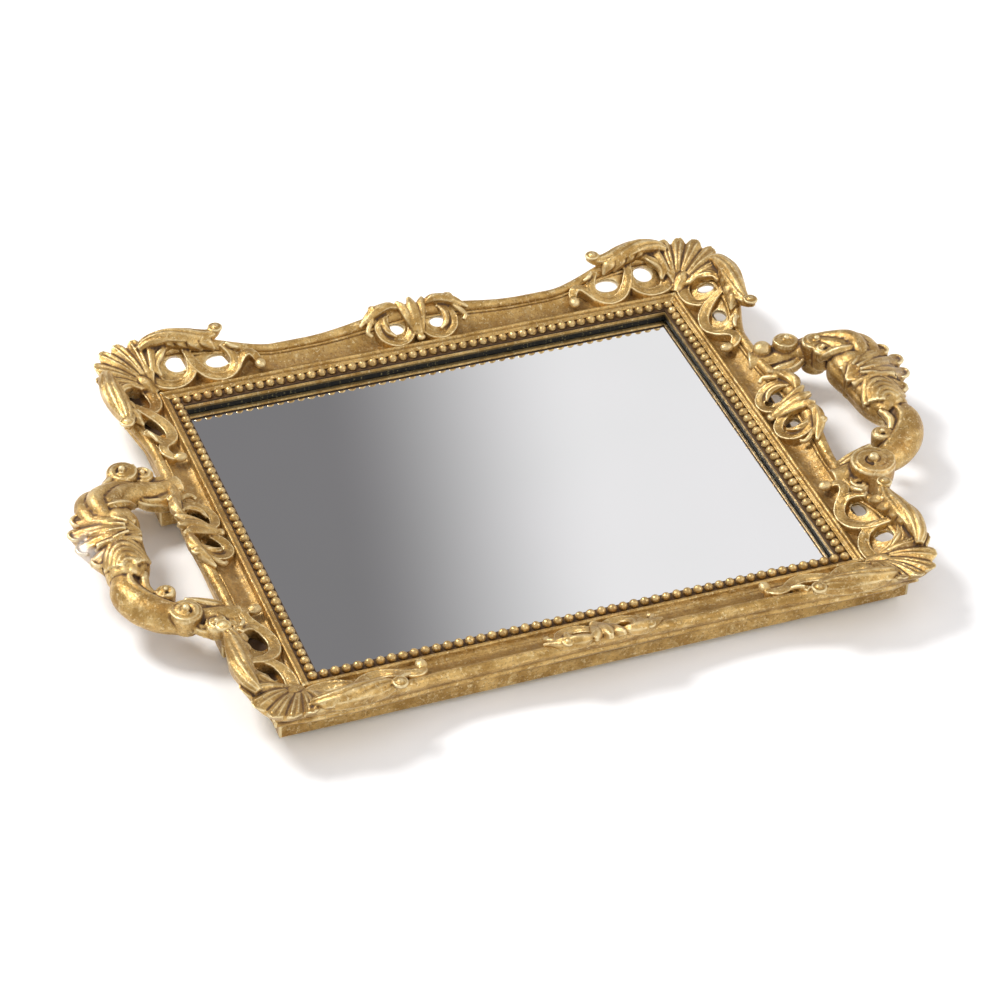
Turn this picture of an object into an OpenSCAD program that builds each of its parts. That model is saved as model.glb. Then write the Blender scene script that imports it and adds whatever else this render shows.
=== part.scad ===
// Gilt rococo vanity tray: a mirror plate in a scrolled, pierced frame with two scroll handles.
// The origin is on the resting surface under the middle of the tray. +X runs along the long side,
// +Y towards the back, +Z up. Heights called "rel" are measured from the plane of the bead centres.

/* [Bead course] */
// Length of the rectangle through the bead centres
line_l = 247.5; // [240:0.5:260]
// Width of the rectangle through the bead centres
line_w = 200; // [190:0.5:212]
// Beads on a long side, both corner beads included
beads_l = 50; // [40:1:51]
// Beads on a short side, both corner beads included
beads_w = 41; // [32:1:41]
// Diameter of a bead
bead_d = 4.6; // [4:0.1:4.8]

/* [Frame] */
// Height of the bead centres over the surface that the tray stands on
bead_z = 14; // [14:0.5:18]
// Distance from the bead line to the outer edge of the rail between two ornaments
rail_w = 23.7; // [23:0.1:25]
// How far the rim swells outwards at the middle of a side
crest_out = 3.5; // [2:0.1:5]
// How far the rim swells outwards near a corner
corner_out = 10; // [8:0.1:12]
// How far the rim rises at the middle of a side
crest_up = 4.5; // [3:0.1:6]
// How far the rim rises near a corner
corner_up = 8; // [6:0.1:9]

/* [Ornament] */
// Top of the corner scrolls over the bead centres
scroll_top = 14.5; // [13:0.1:16]
// Top of the side crests over the bead centres
crest_top = 12; // [11:0.1:13]

/* [Handles] */
// Reach of a handle's outermost shell tip from the middle of the tray
handle_reach = 203; // [200:0.5:208]
// Highest point of a handle over the bead centres
handle_top = 19; // [17:0.5:22]
// How far both handles sit off centre along the short side, left one then right one
handle_shift = [-8, 0];

/* [Mirror and back] */
// Thickness of the mirror plate
glass_t = 2; // [1:0.5:2]
// Thickness of the backing board
board_t = 1.5; // [1:0.1:1.5]
// Height of a rubber foot
foot_h = 3.5; // [3:0.1:4]

/* [Hidden] */
half = [line_l / 2, line_w / 2];
lip_in = -2.75;        // sight edge, inwards of the bead line
lip_z = -3;            // underside of the lip, rel
seat_out = 2.7;        // outer edge of the bead seat
seat_z = -1.6;         // bead seat, rel
glass_z = -5.8;        // top of the mirror plate, rel
glass_lap = 4.2;       // how far the lip covers the plate
rebate = lip_in + glass_lap + 0.5;
cove_in = 8.4;         // where the cove starts; the rail is the same all along up to here
base_out = 21.4;       // the outer wall, straight all round
base_z = foot_h - bead_z;
wall_top = -3.2;       // where the rim starts to lean outwards over the wall, rel
ramps = [[54, 42], [40, 30]]; // where the rim starts to swell before a corner, and over what length
strip_t = 0.8;         // thickness of the bead strip under its beads
paint_t = 0.2;
felt_t = 0.5;
point_t = 0.4;
landing = -0.8;        // underside of the applied ornament, rel, at the cove's edge
tilt = 27.5;           // slope of the ornament, rising outwards
scroll_t = 3;          // thickness of the applied ornament
room_h = 30;           // clears everything above an ornament's seat
near_corner = [0, 5];  // shift of the first scroll on a long and on a short side
corner_reach = [36, 35.5]; // furthest that a shell goes out from the bead corner, X and Y
tape_in = 0.5;         // the glazing tape stops this far behind the sight edge
butt = 0.8;            // the handles butt on the rail this far outside its wall
butt_x = line_l / 2 + base_out + butt;

// ---- Rail ---------------------------------------------------------------------------------

function ease(u) = let (k = min(1, max(0, u))) k * k * (3 - 2 * k);
function bump(p, reach) = abs(p) < reach ? pow(cos(90 * p / reach), 2) : 0;

// Swell of the rim at distance p from the middle of a side whose bead line ends at h
function swell(p, h, ramp, crest, corner) =
    crest * bump(p, 0.45 * h)
    + corner * ease((abs(p) - h + ramp[0]) / ramp[1]) * (1 - 0.8 * ease((abs(p) - h + 2) / 24));

// Section of a rail, anticlockwise from the sight edge: outwards distance and rel height. The
// underside and the wall stay where they are, the rest follows the rim.
function section(edge, rise) =
    let (
        wall = [[lip_in, lip_z], [rebate, lip_z], [rebate, base_z], [base_out, base_z],
                [base_out, wall_top]],
        rim = [[22.4, -2.7], [22.5, -0.3], [23.3, 1.2], [rail_w, 3], [23, 4.9], [21.2, 5.8],
               [19.4, 5], [18.2, 3.2], [15, 1], [12, -0.2], [cove_in + 0.2, -0.3]],
        seat = [[7.6, 0.5], [6.8, 1.9], [5.8, 2], [5, 0.9], [seat_out, 0],
                [seat_out, seat_z], [lip_in, seat_z]],
        grow = edge - rail_w
    )
    [for (q = concat(wall, [for (q = rim)
            let (k = (q[0] - cove_in) / (rail_w - cove_in))
            [q[0] + k * grow, q[1] + rise * pow(k, 1.4)]], seat))
        [q[0], bead_z + q[1]]];

// One mitred rail along X, its bead line at y = other, its own half length h
module rail_shape(h, other, ramp, steps) {
    stations = [for (i = [0:steps]) -1 + 2 * i / steps];
    rings = [for (t = stations)
        let (p = t * (h + rail_w))
        [for (q = section(rail_w + swell(p, h, ramp, crest_out, corner_out),
                          swell(p, h, ramp, crest_up, corner_up)))
            [t * (h + q[0]), other + q[0], q[1]]]];
    n = len(rings[0]);
    walls = [for (i = [0:steps - 1], j = [0:n - 1])
        let (a = i * n + j, b = i * n + (j + 1) % n)
        [a, b, b + n, a + n]];
    polyhedron(
        points = [for (ring = rings) each ring],
        faces = concat(
            [[for (j = [n - 1:-1:0]) j], [for (j = [0:n - 1]) steps * n + j]],
            walls),
        convexity = 8);
}

// Places the two long sides (0 back, 1 front) or the two short sides (2 right, 3 left)
module on_side(side) {
    if (side == 0) children();
    if (side == 1) mirror([0, 1, 0]) children();
    if (side == 2) mirror([1, -1, 0]) children();
    if (side == 3) mirror([1, 0, 0]) mirror([1, -1, 0]) children();
}

module rail(side) {
    long = side < 2;
    h = half[long ? 0 : 1];
    other = half[long ? 1 : 0];
    color("goldenrod")
    on_side(side)
    difference() {
        rail_shape(h, other, ramps[long ? 0 : 1], long ? 34 : 28);
        for (m = [0, 1]) mirror([m, 0, 0]) translate([h, other, 0]) corner_room(long);
        translate([0, other, 0]) crest_room();
        if (!long) lug_room(other, side == 2 ? 1 : 0);
    }
}

// ---- Applied ornament ---------------------------------------------------------------------

function oval(c, r, n = 28) = [for (i = [0:n - 1])
    [c[0] + r[0] * cos(360 * i / n), c[1] + r[1] * sin(360 * i / n)]];

// Lens-shaped outline of a leaf or petal from root a to tip b, w wide at part f of its length
function petal(a, b, w, f = 0.6, n = 7) =
    let (d = b - a, l = norm(d), u = d / l, v = [-u[1], u[0]])
    concat(
        [for (i = [0:n]) let (s = i / n) a + d * s + v * w / 2 * sin(180 * pow(s, f))],
        [for (i = [n - 1:-1:1]) let (s = i / n) a + d * s - v * w / 2 * sin(180 * pow(s, f))]);

// A scroll's eye: an oval with an oval hole in it
module ring(c, r, hole, hole_r) {
    difference() {
        polygon(oval(c, r));
        polygon(oval(hole, hole_r));
    }
}

// Lays an outline as a slab of that thickness on a plane that rises outwards along +Y
module sloped(thick) {
    translate([0, cove_in, bead_z + landing])
    rotate([tilt, 0, 0])
    translate([0, -cove_in, 0])
    linear_extrude(thick) children();
}

// The half of a corner ornament that lies along one side. The bead corner is the origin and
// the side runs towards -X. The first scroll is moved towards the corner by shift.
eye_1 = [-6.5, 18.5];  // hole of the large scroll, from the bead corner
eye_1_r = [3.3, 4];
eye_2 = [-25.7, 16.7]; // hole of the small scroll
eye_2_r = [5, 3];

module arm_outline(shift) {
    translate([shift, 0]) ring([-2.5, 20.5], [12.3, 13], eye_1, eye_1_r);
    ring([-23.5, 16.5], [12, 9.4], eye_2, eye_2_r);
    polygon(petal([-31, 12], [-42.5, 19.5], 7));
    polygon(petal([-38, 20], [-45, 10.5], 7));
}

module arm_leaf_outline() {
    polygon(petal([8, 30], [-30, 28], 9.5, 1));
    translate([-27, 30]) circle(3.4, $fn = 24);
}

tips = [[3, 37], [11, 37.5], [20, 38], [29, 36], [35, 23], [37, 10]];

module shell_outline() {
    for (tip = tips) polygon(petal([9, 9], tip, 11, 1.5));
    polygon(petal([6, 6], [25, 25], 18, 1.2));
}

module arm(shift, thick) {
    sloped(thick) arm_outline(shift);
    sloped(thick) arm_leaf_outline();
}

module shell(thick) {
    translate([0, 0, bead_z + landing + 1.5])
    rotate([0.4 * tilt, -0.4 * tilt, 0])
    linear_extrude(thick) shell_outline();
}

// The part of a side's stock that the ornament takes, and the slanting piercings in its rings
module corner_room(long) {
    if (long) corner_stock(room_h);
    else mirror([1, -1, 0]) corner_stock(room_h);
    piercing([eye_1[0] + near_corner[long ? 0 : 1], eye_1[1]], eye_1_r);
    piercing(eye_2, eye_2_r);
}

// Whole corner ornament, drawn at the bead corner of the back right
module corner_stock(thick) {
    arm(near_corner[0], thick);
    mirror([1, -1, 0]) arm(near_corner[1], thick);
    shell(thick);
}

module piercing(c, r) {
    translate([0, c[1], bead_z + landing + (c[1] - cove_in) * tan(tilt)])
    rotate([40, 0, 0])
    translate([0, -c[1], -30])
    linear_extrude(60) polygon(oval(c, r));
}

module corner_scroll(right, back) {
    color("darkgoldenrod")
    mirror([right ? 0 : 1, 0, 0])
    mirror([0, back ? 0 : 1, 0])
    translate([half[0], half[1], 0])
    intersection() {
        corner_stock(scroll_t);
        translate([-60, -60, 0])
        cube([60 + corner_reach[0], 60 + corner_reach[1], bead_z + scroll_top]);
    }
}

crest_eye = [12, 15.3];
crest_eye_r = [3, 3.1];

module crest_half() {
    polygon(oval([11, 16.5], [8.6, 8.4]));
    translate([18.6, 25.8]) circle(2.7, $fn = 24);
    polygon(petal([9, 24], [28, 19.5], 8, 1));
    polygon(petal([2, 14], [5.6, 29], 8, 1.4));
}

module crest_middle() {
    polygon(oval([0, 17], [17.5, 9.5], 40));
    polygon(petal([0, 8], [0, 30.5], 9, 1.4));
}

module crest_plate(thick) {
    sloped(thick) crest_middle();
    for (m = [0, 1]) mirror([m, 0, 0]) sloped(thick) crest_half();
}

module crest_room() {
    crest_plate(room_h);
    for (m = [0, 1]) mirror([m, 0, 0]) piercing(crest_eye, crest_eye_r);
}

module crest(side) {
    color("gold")
    on_side(side)
    translate([0, half[side < 2 ? 1 : 0], 0])
    difference() {
        intersection() {
            crest_plate(scroll_t);
            translate([-40, 0, 0]) cube([80, 29.5, bead_z + crest_top]);
        }
        for (m = [0, 1]) mirror([m, 0, 0]) piercing(crest_eye, crest_eye_r);
    }
}

// ---- Beads --------------------------------------------------------------------------------

module bead_strip(side) {
    long = side < 2;
    h = half[long ? 0 : 1];
    other = half[long ? 1 : 0];
    count = long ? beads_l : beads_w;
    first = long ? 0 : 1;
    reach = long ? h + seat_out : h + lip_in;
    color("khaki")
    on_side(side)
    translate([0, other, bead_z])
    intersection() {
        union() {
            translate([-reach, lip_in, seat_z]) cube([2 * reach, seat_out - lip_in, strip_t]);
            for (i = [first:count - 1 - first])
                translate([-h + 2 * h * i / (count - 1), 0, 0]) sphere(d = bead_d, $fn = 24);
        }
        translate([-reach, lip_in, seat_z]) cube([2 * reach, seat_out - lip_in, 2 * bead_d]);
    }
}

// ---- Handles ------------------------------------------------------------------------------

// Middle line of the right handle from its far root to its near root, with its radius.
// Each row is x, y, rel height and radius.
arm_line = [
    [141, 43, 2, 8], [152, 44, 3, 8.5], [165, 43.5, 5, 8.5], [177, 39.5, 8, 9.5],
    [184, 30, 10, 10.5], [185, 17, 11, 10.5], [184.5, 3, 11, 10.5], [185, -10, 10, 9.5],
    [184.5, -24, 8.5, 9], [179.5, -36, 7, 9], [169, -45, 4.5, 9], [156, -49.5, 3, 8.5],
    [141, -51, 2, 8]
];
arm_sides = 12;

function arm_ring(i) =
    let (
        a = arm_line[max(0, i - 1)],
        b = arm_line[min(len(arm_line) - 1, i + 1)],
        c = arm_line[i],
        d = [b[0] - a[0], b[1] - a[1]],
        out = [-d[1], d[0]] / norm(d)
    )
    [for (j = [0:arm_sides - 1])
        let (t = 360 * j / arm_sides)
        [c[0] + out[0] * c[3] * cos(t), c[1] + out[1] * c[3] * cos(t),
         bead_z + c[2] + 0.85 * c[3] * sin(t)]];

module arm_tube() {
    n = arm_sides;
    last = len(arm_line) - 1;
    polyhedron(
        points = [for (i = [0:last]) each arm_ring(i)],
        faces = concat(
            [[for (j = [0:n - 1]) j], [for (j = [n - 1:-1:0]) last * n + j]],
            [for (i = [0:last - 1], j = [0:n - 1])
                let (a = i * n + j, b = i * n + (j + 1) % n)
                [a, a + n, b + n, b]]),
        convexity = 6);
}

// Volutes on the arm: place, rel height of the middle, radius and thickness
volutes = [[160, 48, 4, 8, 9], [151, 50, 3, 4.5, 8], [171, -32, 8, 4.5, 8], [160, -48, 6, 9, 9]];
fan_tips = [[197, 30], [203, 24], [204, 16], [203, 7], [199, -2]];
lug = [13, 16, 2.5];
lug_y = [43, -50];
screw_hole_d = 3.6;

module handle_body() {
    difference() {
        union() {
            arm_tube();
            for (v = volutes)
                translate([v[0], v[1], bead_z + v[2] - v[4] / 2]) cylinder(r = v[3], h = v[4]);
            intersection() {
                translate([0, 0, bead_z + handle_top - 11])
                linear_extrude(8)
                for (tip = fan_tips) polygon(petal([176, 12], tip, 12, 1.5));
                translate([150, -60, 0]) cube([handle_reach - 150, 120, 60]);
            }
            translate([184, 12, bead_z + handle_top - 9]) sphere(9, $fn = 48);
        }
        translate([0, -100, -10]) cube([butt_x, 200, 60]);
    }
}

module lug_at(y, grow, deep) {
    translate([butt_x - lug[0] - grow, y - lug[1] / 2 - grow, foot_h - deep])
    cube([lug[0] + grow + 0.01, lug[1] + 2 * grow, lug[2] + deep + grow]);
}

function screw_at(y) = [butt_x - lug[0] / 2 - 1, y];

// Space in a side rail for the handle's lugs, its screws and its butt end. The rail lies along X
// here, so the handle's own drawing is turned over the diagonal and back.
module lug_room(other, right) {
    mirror([1, -1, 0])
    translate([0, handle_shift[right], 0]) {
        for (y = lug_y) {
            lug_at(y, 0, 1);
            translate([screw_at(y)[0], screw_at(y)[1], foot_h]) cylinder(d = 2.6, h = 9, $fn = 24);
        }
        for (y = lug_y) translate([butt_x, y - 14, 0]) cube([40, 28, 2 * room_h]);
    }
}

module handle(right) {
    color("orange")
    mirror([right ? 0 : 1, 0, 0])
    translate([0, handle_shift[right ? 1 : 0], 0])
    union() {
        handle_body();
        for (y = lug_y) difference() {
            union() {
                lug_at(y, 0, 0);
                translate([butt_x, y - lug[1] / 2, foot_h])
                cube([5, lug[1], bead_z + 4 - foot_h]);
            }
            translate([screw_at(y)[0], screw_at(y)[1], 0])
            cylinder(d = screw_hole_d, h = foot_h + lug[2] + 1, $fn = 32);
            translate([screw_at(y)[0], screw_at(y)[1], foot_h - 1])
            cylinder(d = 6.6, h = 2, $fn = 32);
        }
    }
}

module handle_screws() {
    color("silver")
    for (m = [0, 1]) mirror([1 - m, 0, 0])
    translate([0, handle_shift[m], 0])
    for (y = lug_y) translate([screw_at(y)[0], screw_at(y)[1], foot_h]) {
        cylinder(d = 6.2, h = 1, $fn = 32);
        cylinder(d = 2.6, h = 8.5, $fn = 32);
    }
}

// ---- Mirror and back ----------------------------------------------------------------------

plate = [line_l + 2 * (lip_in + glass_lap), line_w + 2 * (lip_in + glass_lap)];
sight = [line_l + 2 * lip_in, line_w + 2 * lip_in];

module layer(size, low, t) {
    translate([-size[0] / 2, -size[1] / 2, bead_z + low]) cube([size[0], size[1], t]);
}

module mirror_glass() {
    color("lightcyan") layer(plate, glass_z - glass_t, glass_t);
}

module mirror_paint() {
    color("gray") layer(plate - [1, 1], glass_z - glass_t - paint_t, paint_t);
}

module glazing_tape() {
    color("dimgray") difference() {
        layer(plate, glass_z, lip_z - glass_z);
        layer(sight + 2 * [tape_in, tape_in], glass_z - 1, lip_z - glass_z + 2);
    }
}

module backing_board() {
    color("tan") layer(plate, glass_z - glass_t - paint_t - board_t, board_t);
}

felt_z = glass_z - glass_t - paint_t - board_t - felt_t;

module base_felt() {
    color("darkolivegreen") layer(plate - [0.5, 0.5], felt_z, felt_t);
}

module glazing_points() {
    color("lightgray")
    for (side = [0:3]) on_side(side) {
        h = half[side < 2 ? 0 : 1];
        other = half[side < 2 ? 1 : 0];
        for (p = [-2:2]) translate([p * h * 0.4, other + rebate, bead_z + felt_z - point_t])
            linear_extrude(point_t) polygon([[-3.5, -0.01], [3.5, -0.01], [0, -6]]);
    }
}

module rubber_feet() {
    color("saddlebrown")
    for (x = [-1, 1], y = [-1, 1])
        translate([x * (half[0] + 12), y * (half[1] + 12), 0]) {
            cylinder(r = 5, h = foot_h);
        }
}

rail(1);  // rail_front
rail(0);  // rail_back
rail(3);  // rail_left
rail(2);  // rail_right
bead_strip(1);  // bead_strip_front
bead_strip(0);  // bead_strip_back
bead_strip(3);  // bead_strip_left
bead_strip(2);  // bead_strip_right
corner_scroll(false, false);  // corner_scroll_front_left
corner_scroll(true, false);  // corner_scroll_front_right
corner_scroll(false, true);  // corner_scroll_back_left
corner_scroll(true, true);  // corner_scroll_back_right
crest(1);  // crest_front
crest(0);  // crest_back
crest(3);  // crest_left
crest(2);  // crest_right
handle(false);  // handle_left
handle(true);  // handle_right
mirror_glass();
mirror_paint();
glazing_tape();
backing_board();
base_felt();
glazing_points();
handle_screws();
rubber_feet();
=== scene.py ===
# %% [markdown]
# A gilt vanity tray, piece by piece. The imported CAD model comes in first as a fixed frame:
# every piece below takes its place from it, in metres, with +X along the long side, +Y towards
# the back and +Z up. The CAD box is kept so that the finished model can be measured against it.

# %% Load the frame
import math

import bmesh
import bpy
import numpy as np
from mathutils import Matrix, Vector, noise


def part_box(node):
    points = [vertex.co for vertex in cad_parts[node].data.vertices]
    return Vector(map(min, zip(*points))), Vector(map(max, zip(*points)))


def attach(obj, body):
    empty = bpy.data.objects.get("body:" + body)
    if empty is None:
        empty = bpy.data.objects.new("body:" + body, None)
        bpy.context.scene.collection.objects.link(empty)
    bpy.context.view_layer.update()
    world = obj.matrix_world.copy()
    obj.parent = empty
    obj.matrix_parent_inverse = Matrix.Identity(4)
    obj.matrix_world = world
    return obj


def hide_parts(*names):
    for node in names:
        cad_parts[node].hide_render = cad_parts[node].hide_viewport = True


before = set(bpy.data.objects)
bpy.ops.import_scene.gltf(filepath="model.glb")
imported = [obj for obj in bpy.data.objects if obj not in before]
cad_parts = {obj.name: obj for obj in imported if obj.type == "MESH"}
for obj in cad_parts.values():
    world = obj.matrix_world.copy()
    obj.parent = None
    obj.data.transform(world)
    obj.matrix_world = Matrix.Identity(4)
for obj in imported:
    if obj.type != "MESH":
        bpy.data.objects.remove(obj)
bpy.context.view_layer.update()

MM = 0.001

# %% [markdown]
# The frame is laid out from the line through the bead centres, so that line is measured once,
# from the bead strips. The rails' own boxes give the rest. All the carving below is drawn in
# millimetres: x and y in plan from the middle of the tray, and z from the plane of the beads.

# %% Driving sizes
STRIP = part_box("bead_strip_back")
BEAD_R = 2.3
SEAT_OUT = 2.7           # from the bead line out to the edge of a bead strip
HALF = (STRIP[1][0] / MM - SEAT_OUT, STRIP[1][1] / MM - SEAT_OUT)
BEAD_Z = STRIP[1][2] / MM - BEAD_R
BASE_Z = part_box("rail_back")[0][2] / MM - BEAD_Z
BEADS = (50, 41)         # along a long and a short side, with the corner beads counted
print("bead line half sizes", [round(v, 2) for v in HALF], "bead plane", round(BEAD_Z, 2))

# %% [markdown]
# The camera stands in front and to the left, about a metre and a half away, and looks down at
# forty degrees with a long lens. It is placed from three turns and a distance, much as the head
# of a tripod is set.

# %% Camera
EYE = Vector((-454.7, -1098.4, 948.8 + BEAD_Z)) * MM
RIGHT = Vector((0.93430, -0.35467, 0.03584))
FORWARD = Vector((0.29685, 0.71842, -0.62909)).normalized()
RIGHT = (RIGHT - FORWARD * RIGHT.dot(FORWARD)).normalized()
UP = RIGHT.cross(FORWARD)
camera = bpy.data.objects.new("camera", bpy.data.cameras.new("camera"))
camera.matrix_world = Matrix((RIGHT, UP, -FORWARD)).transposed().to_4x4()
camera.location = EYE
camera.data.lens = 121.0
camera.data.sensor_width = 36.0
bpy.context.collection.objects.link(camera)
bpy.context.scene.camera = camera
print("camera stands", round(EYE.length, 2), "m from the tray")

# %% [markdown]
# Finishes are built from many small nodes. Two helper classes let a finish be written as plain
# sums: an operator on a socket adds the Math node that works it out, so each finish below reads
# as a recipe and not as wiring.

# %% Shader maths as expressions
class Socket:
    """A shader value whose operators add Math nodes."""

    def __init__(self, tree, out):
        self.tree, self.out = tree, out

    def math(self, operation, other, swap=False):
        values = (other, self) if swap else (self, other)
        return self.tree.add("ShaderNodeMath", {"operation": operation}, *values)

    def __add__(self, other): return self.math("ADD", other)
    def __radd__(self, other): return self.math("ADD", other, True)
    def __sub__(self, other): return self.math("SUBTRACT", other)
    def __rsub__(self, other): return self.math("SUBTRACT", other, True)
    def __mul__(self, other): return self.math("MULTIPLY", other)

    def clamp(self):
        return self.tree.add("ShaderNodeClamp", {}, self)

    def ramp(self, low, high):
        """0 below low, 1 above high, eased between."""
        return self.tree.add("ShaderNodeMapRange", {"interpolation_type": "SMOOTHSTEP"},
                             self, low, high, 0.0, 1.0)


class Tree:
    """A node tree that nodes are added to by type, settings and socket values."""

    def __init__(self, owner):
        owner.use_nodes = True
        self.tree = owner.node_tree
        self.tree.nodes.clear()

    def add(self, kind, settings=None, *values, out=0, **named):
        node = self.tree.nodes.new(kind)
        for key, value in (settings or {}).items():
            if key == "stops":
                self.stops(node.color_ramp, value)
            else:
                setattr(node, key, value)
        for key, value in list(enumerate(values)) + list(named.items()):
            if isinstance(key, str):
                key = key.replace("_", " ")
            if value is not None:
                self.feed(node.inputs[key], value)
        return Socket(self, node.outputs[out]) if node.outputs else node

    def feed(self, socket, value):
        if isinstance(value, Socket):
            self.tree.links.new(value.out, socket)
        else:
            socket.default_value = value

    def stops(self, ramp, stops):
        while len(ramp.elements) < len(stops):
            ramp.elements.new(1.0)
        for element, (at, colour) in zip(ramp.elements, stops):
            element.position = at
            element.color = (*colour, 1)

    def mix(self, factor, a, b, blend="MIX"):
        node = self.tree.nodes.new("ShaderNodeMix")
        node.data_type, node.blend_type = "RGBA", blend
        for key, value in ((0, factor), (6, a), (7, b)):
            if isinstance(value, tuple):
                value = (*value, 1)
            self.feed(node.inputs[key], value)
        return Socket(self, node.outputs[2])

    def noise(self, where, scale, detail=3.0, rough=0.55, warp=0.0):
        return self.add("ShaderNodeTexNoise", {}, out=0, Vector=where, Scale=scale,
                        Detail=detail, Roughness=rough, Distortion=warp)

    def attribute(self, name):
        return self.add("ShaderNodeAttribute", {"attribute_name": name}, out=2)


def rgb(hexa):
    """Linear colour of an sRGB hex string."""
    values = [int(hexa[i:i + 2], 16) / 255 for i in (0, 2, 4)]
    return tuple(v / 12.92 if v < 0.04 else ((v + 0.055) / 1.055) ** 2.4 for v in values)


# %% [markdown]
# Such a tray is shown on white, under one large soft light and a weaker fill. The mirror shows
# what hangs over the set: a white ceiling and, to the left, a grey flag whose edge falls off
# softly. That flag is part of the surroundings, so it is drawn in the world.

# %% Surroundings
scene = bpy.context.scene
scene.view_settings.view_transform = "Standard"
scene.view_settings.look = "None"
world = bpy.data.worlds.new("studio")
scene.world = world
studio = Tree(world)
look = studio.add("ShaderNodeTexCoord", out=0)
FLAG = Vector((-0.93, 0.36, 0.0)).normalized()
side = studio.add("ShaderNodeVectorMath", {"operation": "DOT_PRODUCT"}, look, tuple(FLAG), out=1)
climb = studio.add("ShaderNodeSeparateXYZ", {}, look, out=2)
ahead = studio.add("ShaderNodeSeparateXYZ", {}, look, out=1).ramp(0.0, 0.35)
tilted = side + (climb - 0.63) * 0.3
flag = tilted.ramp(-0.052, 0.032) * climb.ramp(0.2, 0.45) * ahead
sky = studio.mix(climb.ramp(-0.2, 0.9), rgb("e2e2e3"), rgb("f9f7f8"))
studio.add("ShaderNodeOutputWorld", {}, Surface=studio.add(
    "ShaderNodeBackground", {}, Color=studio.mix(flag * 0.9, sky, rgb("6b696b")), Strength=1.0))


def lamp(name, place, size, watts, aim=(0, 0, 0)):
    light = bpy.data.lights.new(name, "AREA")
    light.shape, light.size, light.energy = "DISK", size, watts
    holder = bpy.data.objects.new(name, light)
    holder.location = place
    turn = (Vector(aim) - Vector(place)).to_track_quat("-Z", "Y")
    holder.rotation_euler = turn.to_euler()
    bpy.context.collection.objects.link(holder)


lamp("key", (-0.9, 0.9, 1.6), 0.7, 33)
lamp("fill", (1.3, -0.9, 1.1), 1.0, 6)

# %% [markdown]
# The tray stands on a wide sheet of white paper with a faint tooth.

# %% Floor
bpy.ops.mesh.primitive_plane_add(size=12)
floor = bpy.context.object
floor.name = "floor"
paper = bpy.data.materials.new("paper")
sheet = Tree(paper)
tooth = sheet.noise(sheet.add("ShaderNodeTexCoord", out=3), 60.0)
sheet.add("ShaderNodeOutputMaterial", {}, Surface=sheet.add(
    "ShaderNodeBsdfPrincipled", {}, Base_Color=sheet.mix(tooth, rgb("f8f8f8"), rgb("fdfdfd")),
    Roughness=0.9))
floor.data.materials.append(paper)

# %% [markdown]
# The gilding is leaf over an orange-red clay, toned down with an umber wash. The wash stays in
# the hollows and is rubbed off the edges, so the colour follows the shape: each mesh carries two
# numbers per vertex, how hollow it is over a millimetre and over several. The leaf itself is
# mottled and thin in places so that the clay warms it. The convex edges and high spots are
# lightened as a painted highlight, and one marked face is darkened as painted shade.

# %% Gilding
def gilding(name, wash, worn=0.0, scale=1.0, grit=1.0, wear_and_highlight=0.75):
    """Antique leaf; wash is how much umber is left, worn how much pale ground shows and
    wear_and_highlight how bright the painted highlight on the high spots is."""
    material = bpy.data.materials.new(name)
    t = Tree(material)
    place = t.add("ShaderNodeTexCoord", out=3)
    fine, broad = t.attribute("fine"), t.attribute("broad")
    cloud = t.noise(place, 90.0 * scale, 4.0, 0.6)
    speck = t.noise(place, 1100.0, 3.0, 0.65)
    streak = t.noise(place, 300.0, 5.0, 0.72, 0.6)
    thin = t.noise(place, 38.0, 3.0, 0.55)
    leaf = t.mix(cloud.ramp(0.35, 0.7), rgb("a17d42"), rgb("d2ae6c"))
    leaf = t.mix(streak.ramp(0.5, 0.74) * 0.7, leaf, rgb("ead29a"))
    leaf = t.mix(thin.ramp(0.54, 0.74) * 0.35, leaf, rgb("ab7230"))
    leaf = t.mix(speck.ramp(0.52, 0.66) * 0.6, leaf, rgb("74552a"))
    leaf = t.mix(t.noise(place, 620.0, 3.0, 0.7).ramp(0.57, 0.68) * 0.6, leaf, rgb("f1dfae"))
    hollow = (fine * 3.6 + broad * 1.1 + (streak - 0.5) * 0.6 + (cloud - 0.5) * 0.5)
    leaf = t.mix(hollow.ramp(0.02, 0.6) * wash, leaf, rgb("6b4a22"))
    leaf = t.mix(hollow.ramp(0.4, 1.1) * wash, leaf, rgb("382410"))
    # Painted highlight: the convex edges and high spots are lightened to a pale gold.
    edge = (fine * -4.5 + broad * -0.4 + (cloud - 0.5) * 0.6 + (speck - 0.5) * 0.5)
    leaf = t.mix(edge.ramp(0.15, 1.0) * wear_and_highlight, leaf, rgb("f3e1b0"))
    # Painted shade: the marked inner face under the lip is darkened to a dark olive.
    leaf = t.mix(t.attribute("soot") * 0.85, leaf, rgb("322b16"))
    if worn:
        patch = t.attribute("worn") * t.noise(place, 70.0, 4.0, 0.7).ramp(0.38, 0.6)
        leaf = t.mix(patch * worn, leaf, rgb("dcd5cd"))
    grain = t.add("ShaderNodeBump", {}, Strength=1.0, Distance=0.0005,
                  Height=(streak * 0.7 + speck * 0.35) * grit + cloud)
    rough = 0.36 + hollow.ramp(0.0, 1.0) * 0.3 + (speck - 0.5) * 0.35
    shader = t.add("ShaderNodeBsdfPrincipled", {}, Base_Color=leaf,
                   Metallic=0.8 - hollow.ramp(0.1, 0.9) * 0.55, Roughness=rough.clamp(),
                   Normal=grain)
    t.add("ShaderNodeOutputMaterial", {}, Surface=shader)
    return material


gilt = gilding("gilt", 0.9)
gilt_worn = gilding("gilt_worn", 0.9, 0.8)
gilt_beads = gilding("gilt_beads", 0.95, scale=2.0, grit=0.5, wear_and_highlight=0.3)
print("gildings ready")

# %% [markdown]
# A few steps come back for nearly every piece: putting a mesh on the set, taking what its
# modifiers make, turning a closed body's faces outwards, cutting one body out of another, and
# keeping a number per vertex for a finish to read. Each gets a helper.

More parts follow.
